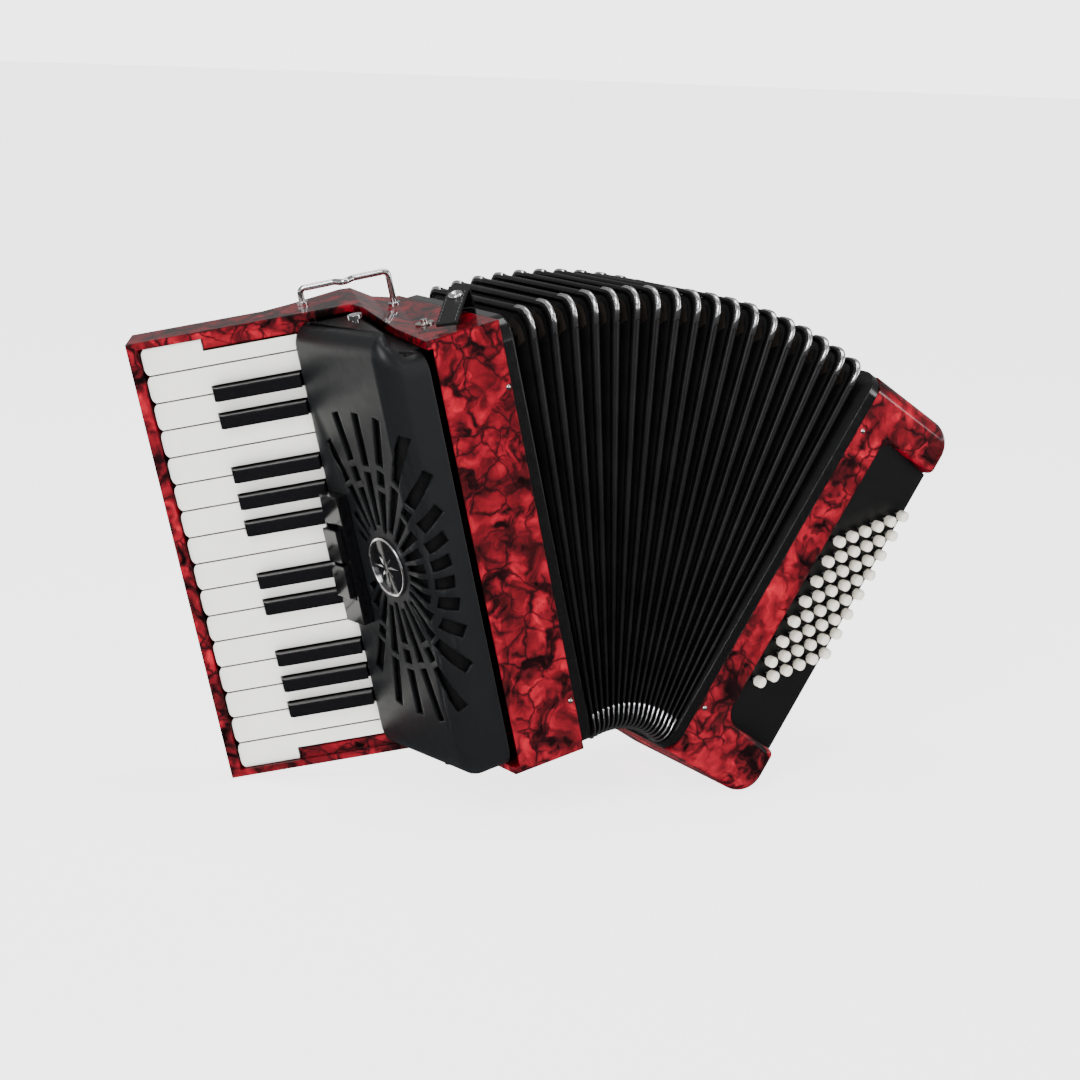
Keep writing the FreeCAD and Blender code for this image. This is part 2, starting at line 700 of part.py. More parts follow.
def bass_case():
    depth = number("case_depth")
    height = number("frame_height")
    reach = number("bass_depth")
    wall = number("case_wall")

    def shell(inset):
        solid = Part.makeBox(reach - inset + (1 if inset else 0), depth - 2 * inset, height - 2 * inset,
                             Vector(-1 if inset else 0, inset, inset))
        solid = rounded(solid, 20 - inset, lambda edge, middle: middle.x > reach - inset - 1 and not upright(edge)
                        and abs(middle.y - depth / 2) < 1)
        return rounded(solid, 12 - inset, lambda edge, middle: middle.x > 1 and abs(middle.y - depth / 2) > 30)
    low = number("board_low")
    high = number("board_high")
    room = polygon_prism(board_line(0.0), low, high)
    inner_room = polygon_prism(board_line(wall + 3.0), low - wall, high + wall)
    rebate = polygon_prism(board_line(4.4), low, high)
    hollow = shell(wall).cut(inner_room)
    body = shell(0.0).cut(hollow)
    turn = math.radians(number("board_slope"))
    opening = Part.makeBox(56, 14, 190, Vector(2, -3, 66))
    opening.Placement = Placement(Vector(number("board_step"), 2, 0),
                                  Rotation(Vector(0, 0, 1), math.degrees(turn))) * opening.Placement
    body = body.cut(room).cut(rebate).cut(opening)
    wheel_slot = Part.makeBox(20, 7.2, 8, Vector(reach - 40, 91.4, height - 6))
    stem_hole = Part.makeCylinder(2.8, 10, Vector(reach - 8, 44, 255), Vector(1, 0, 0))
    body = body.cut([wheel_slot, stem_hole])
    shaped("bass_case", max(body.Solids, key=lambda solid: solid.Volume), BASS)


def button_holes(radius, depth, start):
    holes = []
    for row in range(6):
        for column in range(8):
            across, up = button_place(row, column)
            holes.append(Part.makeCylinder(radius, depth, Vector(across, start, up), Vector(0, -1, 0)))
    return holes


def button_place(row, column):
    across = 6.0 + number("row_pitch") * row
    up = 197.8 - number("button_pitch") * column + number("row_climb") * row
    return across, up


def bass_board():
    low = number("board_low") + 0.3
    high = number("board_high") - 0.3
    board = Part.makeBox(60.0, 4.0, high - low, Vector(1.4, 0.2, low))
    board = board.cut(button_holes(2.3, 6.0, 5.0))
    shaped("bass_button_board", board, BOARD)
    for row in range(6):
        buttons = []
        for column in range(8):
            across, up = button_place(row, column)
            rise = number("button_rise")
            shaft = Part.makeCylinder(2.0, rise + 5.0, Vector(across, 6.5, up), Vector(0, -1, 0))
            cap = Part.makeCylinder(number("button_radius"), rise - 4.2, Vector(across, -4.2, up), Vector(0, -1, 0))
            buttons.append(shaft.fuse(cap).removeSplitter())
        shaped(f"bass_buttons_row_{row + 1}", Part.makeCompound(buttons), BOARD)


def bass_inside():
    """The foundation board across the bass case, and the reed blocks that stand on it inside the bellows."""
    height = number("frame_height")
    depth = number("case_depth")
    board = box(4.0, depth - 16.0, height - 16.0, (0.6, 8.0, 8.0))
    blocks = [box(18.6, 22, height - 90, (-18, 42 + 50 * row, 45)) for row in (0, 1)]
    keep("bass_reed_blocks", fuse(board, *blocks), BASS)


def bass_strap():
    """The hand strap: a leather band bowed out from the bass case's side."""
    reach = number("bass_depth")
    width = 58.0
    low = 34.0
    high = number("frame_height") - 32.0
    half = (high - low) / 2
    bow = 36.0
    height = number("frame_height")
    radius = (half * half + bow * bow) / (2 * bow)
    centre = Vector(reach + bow - radius, 66, (low + high) / 2)
    ring = Part.makeCylinder(radius, width, centre, Vector(0, 1, 0))
    ring = ring.cut(Part.makeCylinder(radius - 3.0, width + 2, centre - Vector(0, 1, 0), Vector(0, 1, 0)))
    keep_out = Part.makeBox(80, width + 4, high - low + 4, Vector(reach + 0.3, 64, low - 2))
    band = ring.common(keep_out)
    shaped("bass_strap", max(band.Solids, key=lambda solid: solid.Volume), BASS)
    wheel = Part.makeCylinder(9.0, 6.0, Vector(reach - 30, 92, height - 6), Vector(0, 1, 0))
    axle_hole = Part.makeCylinder(1.5, 8.0, Vector(reach - 30, 91, height - 6), Vector(0, 1, 0))
    shaped("strap_wheel", wheel.cut(axle_hole), BASS)


def air_button():
    head = Part.makeCylinder(6.5, 4.0, Vector(number("bass_depth") + 8, 44, 255), Vector(-1, 0, 0))
    stem = Part.makeCylinder(2.4, 18.0, Vector(number("bass_depth") + 6.0, 44, 255), Vector(-1, 0, 0))
    shaped("air_button", head.fuse(stem), BASS)


treble_case()
keyboard_bed()
keyboard()
reed_parts()
grille()
registers()
strap_brackets()
bellows_frame("treble_bellows_frame", TREBLE, 0.0)
pins("treble_frame_pins", TREBLE, ((-2.6, 271.0), (-3.0, 38.0)))
closure_straps()
bellows()
bellows_frame("bass_bellows_frame", BASS, -number("frame_thick"))
pins("bass_frame_pins", BASS, ((5.0, 276.0), (5.0, 40.0)))
bass_case()
bass_board()
bass_inside()
bass_strap()
air_button()
doc.recompute()

# ---------------------------------------------------------------- checks and export
for thing in doc.Objects:
    if any(word in thing.State for word in ("Invalid", "Error")):
        raise RuntimeError(f"{thing.Name} ({thing.Label}) failed to build")
os.makedirs("parts", exist_ok=True)
whole = FreeCAD.BoundBox()
for name, thing in parts.items():
    if thing.Shape.isNull() or not thing.Shape.isValid() or not thing.Shape.Solids:
        raise RuntimeError(f"{name} has no sound shape")
    whole.add(thing.Shape.BoundBox)
    thing.Shape.exportStep(f"parts/{name}.step")
print(f"{len(parts)} sub-parts, x {whole.XMin:.1f}..{whole.XMax:.1f}, y {whole.YMin:.1f}..{whole.YMax:.1f}, "
      f"z {whole.ZMin:.2f}..{whole.ZMax:.1f}")
for name in ("treble_case", "bass_case"):
    print(name, "lowest", round(parts[name].Shape.BoundBox.ZMin, 2))
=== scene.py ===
import bpy, bmesh, math
from mathutils import Matrix, Vector


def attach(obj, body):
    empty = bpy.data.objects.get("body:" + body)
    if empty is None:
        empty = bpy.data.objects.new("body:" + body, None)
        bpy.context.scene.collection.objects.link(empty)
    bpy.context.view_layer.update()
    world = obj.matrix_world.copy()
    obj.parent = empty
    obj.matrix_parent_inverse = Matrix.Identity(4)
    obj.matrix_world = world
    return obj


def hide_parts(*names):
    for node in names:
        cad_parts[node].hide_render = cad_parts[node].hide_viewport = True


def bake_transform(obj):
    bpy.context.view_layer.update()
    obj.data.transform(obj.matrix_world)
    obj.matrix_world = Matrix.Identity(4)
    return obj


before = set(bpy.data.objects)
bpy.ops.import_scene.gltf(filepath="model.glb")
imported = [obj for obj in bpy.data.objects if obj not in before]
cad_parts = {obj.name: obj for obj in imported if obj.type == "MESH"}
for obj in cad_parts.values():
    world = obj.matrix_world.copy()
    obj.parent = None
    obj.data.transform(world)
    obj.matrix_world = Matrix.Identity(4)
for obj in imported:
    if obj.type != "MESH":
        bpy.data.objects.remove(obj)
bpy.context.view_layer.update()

# -------------------------------------------------- frames of the instrument, in metres
BASE = Vector((-0.0162, -0.0990, 0.0505))     # low front corner of the treble's bellows frame, over the floor
LEAN = math.radians(14.5)                     # how far the treble case leans
FAN = math.radians(47.1)                      # how far the bellows is fanned open
POLE = Vector((0.0304, 0.0, -0.0263))         # line that the folds fan about
GAP, FRAME_THICK = 0.060, 0.008               # bellows at the pole, and one frame's thickness
HEIGHT, DEPTH = 0.318, 0.156                  # bellows frames
FOLDS, FOLD_DEPTH, CORNER = 19, 0.015, 0.013  # number and depth of the folds, and radius of their corners
TREBLE = Matrix.Translation(BASE) @ Matrix.Rotation(-LEAN, 4, "Y")
TREBLE_UP = TREBLE.to_3x3() @ Vector((0.0, 0.0, 1.0))


def fold_plane(share):
    """Frame of one plane of the fan: local x = 0 is the plane, y depth, z height."""
    out = -POLE.x + FRAME_THICK + (GAP - 2 * FRAME_THICK) * share
    return (TREBLE @ Matrix.Translation(POLE) @ Matrix.Rotation(FAN * share, 4, "Y")
            @ Matrix.Translation(Vector((out, 0.0, -POLE.z))))


BASS = fold_plane(1.0) @ Matrix.Translation(Vector((FRAME_THICK, 0.0, 0.0)))
BASS_REACH = 0.086                            # how far the bass case reaches out from its frame
KEY_END, KEY_TURN = Vector((-0.1927, 0.1778, 0.0)), math.radians(-30)
KEYS = TREBLE @ Matrix.Translation(KEY_END) @ Matrix.Rotation(KEY_TURN, 4, "Z")
# edges of the grille's long face
FOOT, RIDGE = Vector((-0.1023, 0.1146, 0.0)), Vector((-0.0910, 0.0165, 0.0))
FACE_TURN = math.atan2(RIDGE.y - FOOT.y, RIDGE.x - FOOT.x)
FACE = TREBLE @ Matrix.Translation(FOOT) @ Matrix.Rotation(FACE_TURN, 4, "Z")
BOARD_START, BOARD_SINK, BOARD_SLOPE = 0.026, 0.002, math.radians(12)
BOARD_LOW, BOARD_HIGH = 0.041, 0.282          # ends of the button board, where the bass case's horns begin
BOARD = (BASS @ Matrix.Translation(Vector((BOARD_START, BOARD_SINK, 0.0)))
         @ Matrix.Rotation(BOARD_SLOPE, 4, "Z"))


# -------------------------------------------------- materials
def grey(level):
    return level, level, level


class Shader:
    """A material built node by node."""

    def __init__(self, name, **settings):
        self.material = bpy.data.materials.new(name)
        self.material.use_nodes = True
        self.tree = self.material.node_tree
        self.main = self.tree.nodes["Principled BSDF"]
        for key, value in settings.items():
            self.main.inputs[key.replace("_", " ")].default_value = value
        self.place = self.node("ShaderNodeTexCoord").outputs["Object"]

    def node(self, kind, inputs=None, **settings):
        made = self.tree.nodes.new(kind)
        for key, value in settings.items():
            setattr(made, key, value)
        for key, value in (inputs or {}).items():
            if isinstance(value, bpy.types.NodeSocket):
                self.tree.links.new(value, made.inputs[key])
            else:
                made.inputs[key].default_value = value
        return made

    def link(self, source, name):
        self.tree.links.new(source, self.main.inputs[name])

    def vectors(self, operation, first, second):
        return self.node("ShaderNodeVectorMath", {0: first, 1: second}, operation=operation).outputs[0]

    def noise(self, scale, detail=4.0, vector=None, rough=0.5, distortion=0.0):
        inputs = {"Vector": vector or self.place, "Scale": scale, "Detail": detail, "Roughness": rough,
                  "Distortion": distortion}
        return self.node("ShaderNodeTexNoise", inputs).outputs["Fac"]

    def cells(self, scale, vector=None, feature="F1"):
        inputs = {"Vector": vector or self.place, "Scale": scale}
        return self.node("ShaderNodeTexVoronoi", inputs, feature=feature).outputs

    def ramp(self, source, stops):
        made = self.node("ShaderNodeValToRGB", {"Fac": source})
        ramp = made.color_ramp
        while len(ramp.elements) < len(stops):
            ramp.elements.new(0.5)
        for element, (at, colour) in zip(ramp.elements, stops):
            element.position = at
            element.color = (*colour, 1.0)
        return made.outputs["Color"]

    def mix(self, factor, first, second, blend="MIX"):
        made = self.node("ShaderNodeMix", {"Factor": factor}, data_type="RGBA", blend_type=blend)
        for socket, value in ((made.inputs[6], first), (made.inputs[7], second)):
            if isinstance(value, bpy.types.NodeSocket):
                self.tree.links.new(value, socket)
            else:
                socket.default_value = (*value, 1.0)
        return made.outputs[2]

    def bump(self, height, strength, distance, edge=0.0):
        inputs = {"Height": height, "Strength": strength, "Distance": distance}
        if edge:
            inputs["Normal"] = self.node("ShaderNodeBevel", {"Radius": edge}, samples=4).outputs["Normal"]
        self.link(self.node("ShaderNodeBump", inputs).outputs["Normal"], "Normal")


def pearl():
    """Red pearl celluloid: flakes that shine or go dark, broken up by creases, under a clear coat."""
    made = Shader("red_pearl_celluloid", Roughness=0.4, Specular_IOR_Level=0.1, Coat_Weight=0.6,
                  Coat_Roughness=0.03)
    waves = {"Vector": made.place, "Scale": 40.0, "Detail": 3.0}
    bend = made.node("ShaderNodeTexNoise", waves).outputs["Color"]
    moved = made.vectors("ADD", made.place, made.vectors("MULTIPLY", bend, grey(0.027)))

    patches = made.noise(46.0, 3.0, moved, 0.55, 1.2)
    shade = made.ramp(patches, [(0.36, (0.006, 0.0, 0.0008)), (0.43, (0.070, 0.0001, 0.003)),
                                (0.52, (0.20, 0.0003, 0.008)), (0.64, (0.32, 0.0006, 0.012)),
                                (0.78, (0.58, 0.008, 0.024))])
    flakes = made.cells(70.0, moved)
    chance = made.node("ShaderNodeSeparateColor", {"Color": flakes["Color"]}).outputs["Red"]
    facet = made.ramp(chance, [(0.0, grey(0.30)), (0.5, grey(0.85)), (1.0, grey(1.35))])
    fold = made.ramp(flakes["Distance"], [(0.05, grey(1.35)), (0.50, grey(0.9)), (0.85, grey(0.40))])
    lit = made.mix(0.75, made.mix(0.8, shade, facet, "MULTIPLY"), fold, "MULTIPLY")

    edges = made.cells(54.0, moved, "DISTANCE_TO_EDGE")["Distance"]
    crease = made.ramp(edges, [(0.0, grey(1)), (0.075, grey(0))])
    allowed = made.ramp(made.noise(28.0, 2.0, moved), [(0.42, grey(0)), (0.50, grey(1))])
    both = made.node("ShaderNodeMath", {0: crease, 1: allowed}, operation="MULTIPLY").outputs[0]
    made.link(made.mix(both, lit, (0.008, 0.0, 0.001)), "Base Color")
    made.bump(patches, 0.10, 0.0006, edge=0.0022)
    return made.material


def plain(name, colour, rough, grain=0.0, scale=900.0, edge=0.0, vary=0.06, **settings):
    """A one-colour finish with slight mottling, a fine grain and softened edges."""
    made = Shader(name, Roughness=rough, **settings)
    darker = tuple(channel * (1 - vary) for channel in colour)
    made.link(made.ramp(made.noise(60.0, 5.0), [(0.35, darker), (0.65, colour)]), "Base Color")
    low, high = max(rough - 0.03, 0.0), rough + 0.05
    made.link(made.ramp(made.noise(140.0, 6.0), [(0.3, grey(low)), (0.7, grey(high))]), "Roughness")
    made.bump(made.noise(scale, 3.0), max(grain, 0.004), 0.0004, edge=edge)
    return made.material


def cloth(name, colour, rough, weave):
    """A coated cloth with a fine woven grain."""
    made = Shader(name, Roughness=rough, Specular_IOR_Level=0.25)
    wave = {"Vector": made.place, "Scale": weave, "Distortion": 0.4, "Detail": 1.0}
    across = made.node("ShaderNodeTexWave", wave, bands_direction="X").outputs["Fac"]
    up = made.node("ShaderNodeTexWave", wave, bands_direction="Z").outputs["Fac"]
    both = made.node("ShaderNodeMath", {0: across, 1: up}, operation="ADD").outputs[0]
    darker = tuple(channel * 0.55 for channel in colour)
    made.link(made.ramp(made.noise(45.0, 5.0), [(0.35, darker), (0.68, colour)]), "Base Color")
    made.bump(both, 0.12, 0.0002)
    return made.material


def leather(name, colour, rough):
    """Leather with a pebbled grain and uneven colour."""
    made = Shader(name, Roughness=rough, Specular_IOR_Level=0.35)
    pebbles = made.cells(950.0)["Distance"]
    darker = tuple(channel * 0.5 for channel in colour)
    made.link(made.ramp(made.noise(70.0, 6.0), [(0.3, darker), (0.7, colour)]), "Base Color")
    made.bump(pebbles, 0.22, 0.0003, edge=0.0008)
    return made.material


def wood(name, light, dark):
    """Wood with its grain along z."""
    made = Shader(name, Roughness=0.5)
    stretched = made.vectors("MULTIPLY", made.place, (6.0, 6.0, 0.5))
    grain = made.noise(30.0, 6.0, stretched, 0.6, 1.5)
    made.link(made.ramp(grain, [(0.35, dark), (0.6, light)]), "Base Color")
    made.bump(grain, 0.1, 0.0003)
    return made.material


RED = pearl()
WHITE_KEY = plain("white_key_plastic", (0.93, 0.92, 0.88), 0.16, 0.01, edge=0.0012, vary=0.03,
                  Coat_Weight=0.4)
BLACK_KEY = plain("black_key_plastic", (0.004, 0.004, 0.005), 0.2, 0.02, edge=0.0012,
                  Specular_IOR_Level=0.4)
GRILLE = plain("grille_satin_black", (0.0055, 0.0063, 0.0072), 0.36, 0.05, 1500.0, edge=0.0022,
               Specular_IOR_Level=0.35)
GLOSS = plain("gloss_black", (0.003, 0.003, 0.0035), 0.12, 0.01, edge=0.0018, Coat_Weight=0.2)
LACQUER = plain("frame_lacquer", (0.003, 0.003, 0.0032), 0.16, 0.02, edge=0.0015, Coat_Weight=0.2)
BOARD_BLACK = plain("board_satin_black", (0.0045, 0.0045, 0.005), 0.34, 0.05, edge=0.0008,
                    Specular_IOR_Level=0.3)
IVORY = plain("ivory_button", (0.80, 0.76, 0.66), 0.2, 0.01, edge=0.0006, vary=0.05, Coat_Weight=0.5)
CHROME = plain("polished_chrome", (0.86, 0.86, 0.88), 0.07, 0.01, edge=0.0006, vary=0.03, Metallic=1.0)
NICKEL = plain("polished_nickel", (0.74, 0.71, 0.67), 0.16, 0.02, edge=0.0004, Metallic=1.0)
STEEL = plain("corner_steel", (0.82, 0.82, 0.84), 0.2, 0.03, edge=0.0005, Metallic=1.0)
CLOTH = cloth("bellows_cloth", (0.0045, 0.0045, 0.0052), 0.5, 900.0)
TAPE = cloth("bellows_tape", (0.0055, 0.0055, 0.006), 0.34, 700.0)
GUSSET = leather("gusset_leather", (0.022, 0.016, 0.012), 0.6)
GAUZE = cloth("grille_gauze_cloth", (0.003, 0.003, 0.0035), 0.7, 1500.0)
LEATHER = leather("black_leather", (0.006, 0.006, 0.0064), 0.4)
THREAD = plain("strap_thread", (0.10, 0.10, 0.105), 0.6, 0.1)
WOOD = wood("stained_wood", (0.10, 0.062, 0.034), (0.05, 0.030, 0.016))
FELT = cloth("dark_felt", (0.03, 0.03, 0.035), 0.9, 500.0)
KEY_SIDE = wood("key_side_wood", (0.16, 0.085, 0.035), (0.07, 0.035, 0.015))

FINISH = {
    "treble_case": RED, "bass_case": RED, "keyboard_bed": FELT, "pallet_board": WOOD,
    "treble_reed_blocks": WOOD, "bass_reed_blocks": WOOD, "key_axle": STEEL, "treble_grille": GRILLE,
    "grille_gauze": GAUZE, "grille_emblem": CHROME, "grille_knobs": CHROME, "register_housing": GLOSS,
    "strap_bracket_top": CHROME, "strap_bracket_bottom": CHROME, "treble_bellows_frame": LACQUER,
    "bass_bellows_frame": LACQUER, "treble_frame_pins": NICKEL, "bass_frame_pins": NICKEL,
    "snap_plate": NICKEL, "bass_button_board": BOARD_BLACK, "strap_wheel": NICKEL, "air_button": IVORY,
    "closure_straps": LEATHER, "bass_strap": LEATHER, "register_tab_1": GLOSS, "register_tab_2": GLOSS,
}
for name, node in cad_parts.items():
    finish = FINISH.get(name)
    if name.startswith("key_white"):
        finish = WHITE_KEY
    elif name.startswith("key_black"):
        finish = BLACK_KEY
    if finish:
        node.data.materials.clear()
        node.data.materials.append(finish)


# -------------------------------------------------- makers
def store(work, mesh, place=None):
    """Writes an edited mesh back, out of the frame that it was edited in."""
    if place is not None:
        bmesh.ops.transform(work, matrix=place, verts=work.verts)
    work.to_mesh(mesh)
    work.free()


def piece(name, points, faces, material, smooth=True):
    """A new object of one finish."""
    mesh = bpy.data.meshes.new(name)
    mesh.from_pydata([tuple(point) for point in points], [], faces)
    work = bmesh.new()
    work.from_mesh(mesh)
    bmesh.ops.recalc_face_normals(work, faces=work.faces)
    store(work, mesh)
    mesh.materials.append(material)
    if smooth:
        mesh.shade_smooth()
    made = bpy.data.objects.new(name, mesh)
    bpy.context.scene.collection.objects.link(made)
    return made


def node_copy(node, name):
    """A new object with a copy of a CAD node's mesh, in its place."""
    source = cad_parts[node]
    made = bpy.data.objects.new(name, source.data.copy())
    made.matrix_world = source.matrix_world
    bpy.context.scene.collection.objects.link(made)
    return made


def merged(mesh, place=None):
    """A CAD mesh to edit, seen in the given frame, with its doubled vertices and split flat faces joined."""
    work = bmesh.new()
    work.from_mesh(mesh)
    if place is not None:
        bmesh.ops.transform(work, matrix=place.inverted(), verts=work.verts)
    bmesh.ops.remove_doubles(work, verts=work.verts, dist=1e-6)
    bmesh.ops.dissolve_limit(work, angle_limit=math.radians(1), verts=work.verts, edges=work.edges)
    return work


def slice_at(work, height):
    """Splits the faces of a mesh where they cross a height."""
    bmesh.ops.bisect_plane(work, geom=work.verts[:] + work.edges[:] + work.faces[:], dist=1e-7,
                           plane_co=(0, 0, height), plane_no=(0, 0, 1))


def tube_between(rings, closed=False):
    """Faces that join rings of equal length in turn, with end caps unless they close on themselves."""
    count = len(rings[0])
    points = [point for ring in rings for point in ring]
    faces = []
    spans = range(len(rings)) if closed else range(len(rings) - 1)
    for row in spans:
        after_row = (row + 1) % len(rings)
        for index in range(count):
            after = (index + 1) % count
            faces.append((row * count + index, row * count + after,
                          after_row * count + after, after_row * count + index))
    if not closed:
        faces.append(tuple(range(count)))
        faces.append(tuple(range((len(rings) - 1) * count, len(rings) * count)))
    return points, faces


def turned(profile, place, around=20):
    """A turned shape: profile is (radius, height) pairs, and place puts its axis along local -Y."""
    angles = [2 * math.pi * step / around for step in range(around)]
    return tube_between([[place @ Vector((radius * math.cos(angle), -height, radius * math.sin(angle)))
                          for angle in angles] for radius, height in profile])


def corner_arcs(inset, corner):
    """Centre of each corner arc of the bellows outline as depth and height, and where it starts in degrees."""
    low, high, back = inset, HEIGHT - inset, DEPTH - inset
    return (((inset + corner, low + corner), 180), ((back - corner, low + corner), 270),
            ((back - corner, high - corner), 0), ((inset + corner, high - corner), 90))


def fold_loop(share, inset, corner=CORNER, steps=1):
    """Outline of the bellows in one plane of the fan, inset from the frame's, corners cut or rounded."""
    plane = fold_plane(share)
    loop = []
    for (depth, height), start in corner_arcs(inset, corner):
        for step in range(steps + 1):
            angle = math.radians(start + 90 * step / steps)
            spot = Vector((0.0, depth + corner * math.cos(angle), height + corner * math.sin(angle)))
            loop.append(plane @ spot)
    return loop


def follow_fan(made, share):
    """Bakes a piece of the bellows into its place in the world; it is not made to move with the fan."""
    share = min(max(share, 0.004), 0.996)
    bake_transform(made)


# -------------------------------------------------- keys, tabs, housing and straps, with rounded edges
SHARP = math.radians(35)                  # an edge sharper than this is rounded
KEY_FRONT, KEY_BULGE = 0.008, 0.0027      # a white key's curved front end, and how far its corners stand back
SIDE_FACING = 0.97                        # how squarely a face has to look sideways to be a key's bare side


def rounded_copy(node, body, width, segments=3):
    """The CAD node's own mesh with its edges rounded, in its place."""
    made = node_copy(node, f"{node}_rounded")
    mesh = made.data
    work = merged(mesh)
    sharp = [edge for edge in work.edges if len(edge.link_faces) == 2 and edge.calc_face_angle(0) > SHARP]
    bmesh.ops.bevel(work, geom=sharp, offset=width, segments=segments, profile=0.5, affect="EDGES",
                    clamp_overlap=True)
    store(work, mesh)
    mesh.shade_smooth()
    weighted = made.modifiers.new("flat_faces", "WEIGHTED_NORMAL")
    weighted.keep_sharp = False
    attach(made, body)
    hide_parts(node)
    return made


def bulge_front(key):
    """Curves the front end of a white key, so that its corners stand back from its middle."""
    work = bmesh.new()
    work.from_mesh(key.data)
    bmesh.ops.transform(work, matrix=KEYS.inverted(), verts=work.verts)
    heights = [vertex.co.z for vertex in work.verts if vertex.co.x < KEY_FRONT]
    middle, half_width = (max(heights) + min(heights)) / 2, (max(heights) - min(heights)) / 2
    for share in (0.5, 0.68, 0.8, 0.88, 0.94):
        for side in (-1, 1):
            slice_at(work, middle + side * share * half_width)
    for vertex in work.verts:
        if vertex.co.x < KEY_FRONT:
            out = min(abs(vertex.co.z - middle) / half_width, 1.0)
            vertex.co.x += KEY_BULGE * out ** 5 * (1 - max(vertex.co.x, 0.0) / KEY_FRONT)
    store(work, key.data, KEYS)


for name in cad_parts:
    if name.startswith("key_white"):
        key = rounded_copy(name, name, 0.0014, 4)
        bulge_front(key)
        key.data.materials.append(KEY_SIDE)
        for polygon in key.data.polygons:
            polygon.material_index = 1 if abs(polygon.normal @ TREBLE_UP) > SIDE_FACING else 0
    elif name.startswith("key_black"):
        rounded_copy(name, name, 0.0011)
    elif name.startswith("register_tab"):
        rounded_copy(name, name, 0.0022, 4)
rounded_copy("register_housing", "treble", 0.0012)
rounded_copy("closure_straps", "treble", 0.0009)
rounded_copy("bass_strap", "bass", 0.0009)


# -------------------------------------------------- bass case: round lips and corners at its horns
# radii of a horn's lip, and of the corner between horn and button board
LIP, INNER = 0.005, 0.012
CASE_ROUND = 0.012                        # radius of the case's own upright corners
NEAR = 1e-4
CORNER_STEPS, CORNER_BACK = 8, 0.003      # facets of the corner between, and how far back it starts


def on_outside(point):
    """Whether a point is on the bass case's front, its end or the round corner between them."""
    in_corner = point.x > BASS_REACH - CASE_ROUND - NEAR and point.y < CASE_ROUND + NEAR
    return point.y < NEAR or point.x > BASS_REACH - NEAR or in_corner


case = node_copy("bass_case", "bass_case_soft")
work = merged(case.data, BASS)
lips = []
for edge in work.edges:
    ends = [vertex.co for vertex in edge.verts]
    at_horn = any(all(abs(end.z - height) < NEAR for end in ends) for height in (BOARD_LOW, BOARD_HIGH))
    outside = all(on_outside(end) for end in ends)
    if at_horn and outside and edge.calc_face_angle(0) > math.radians(60):
        lips.append(edge)
bmesh.ops.bevel(work, geom=lips, offset=LIP, segments=5, profile=0.5, affect="EDGES", clamp_overlap=True)
store(work, case.data, BASS)
case.data.shade_smooth()
case.data.set_sharp_from_angle(angle=math.radians(40))
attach(case, "bass")
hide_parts("bass_case")

for name, height, side in (("bass_corner_low", BOARD_LOW, 1), ("bass_corner_high", BOARD_HIGH, -1)):
    outline = [(BOARD_START, height)]
    for step in range(CORNER_STEPS + 1):
        angle = math.radians(90 * step / CORNER_STEPS)
        outline.append((BOARD_START + INNER * (1 - math.sin(angle)),
                        height + side * INNER * (1 - math.cos(angle))))
    front = [BASS @ Vector((x, 0.0, z)) for x, z in outline]
    back = [BASS @ Vector((x, CORNER_BACK + (x - BOARD_START) * math.tan(BOARD_SLOPE), z))
            for x, z in outline]
    points, faces = tube_between([front, back])
    corner = piece(name, points, faces, RED, smooth=False)
    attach(corner, "bass")


# -------------------------------------------------- grille: soft ends, and the gauze behind its slots
SOFT_END, SOFT_SHARE = 0.016, 0.85        # length of an end's curve, and its share of a full quarter round
GRILLE_FOOT, SLICE_TOP, SLICE_STEP = 0.0062, 0.3283, 0.0026
RIDGE_ROUND = 0.015                       # radius of the skin where it turns round the ridge
GAUZE_BACK, GAUZE_ROUND = 0.0042, 0.0107  # gauze behind the grille's long face, and its radius at the ridge
STEP_X, STEP_Y, STEP_TURN = -0.061, 0.092, math.radians(18)     # where the grille's top starts to step down
TOP_STOPS = ((-0.004, 0.3284), (0.0187, 0.3164), (0.034, 0.3114))


def skin_inward(point):
    """Which way is inward at a point of the grille's skin in the treble frame, or None away from the skin."""
    face = FACE.inverted() @ TREBLE @ point
    if -0.001 < face.y < 0.0032 and -0.001 < face.x < 0.0988:
        return Vector((-math.sin(FACE_TURN), math.cos(FACE_TURN), 0.0))
    middle = Vector((RIDGE.x + RIDGE_ROUND, RIDGE.y, point.z))
    away = middle - point
    if 0.0118 < away.length < 0.0156 and point.x < middle.x and point.y < middle.y:
        return away.normalized()
    if point.x >= middle.x - 0.0002 and point.y < 0.0046:
        return Vector((0.0, 1.0, 0.0))
    return None


def grille_top(point):
    """Height of the grille's top end over a plan point: it steps down like the case's top does."""
    ahead = (point.x - STEP_X) * math.cos(STEP_TURN) - (point.y - STEP_Y) * math.sin(STEP_TURN)
    if ahead <= TOP_STOPS[0][0]:
        return TOP_STOPS[0][1]
    for (here, high), (there, low) in zip(TOP_STOPS[:-1], TOP_STOPS[1:]):
        if ahead < there:
            return high + (low - high) * (ahead - here) / (there - here)
    return TOP_STOPS[-1][1]


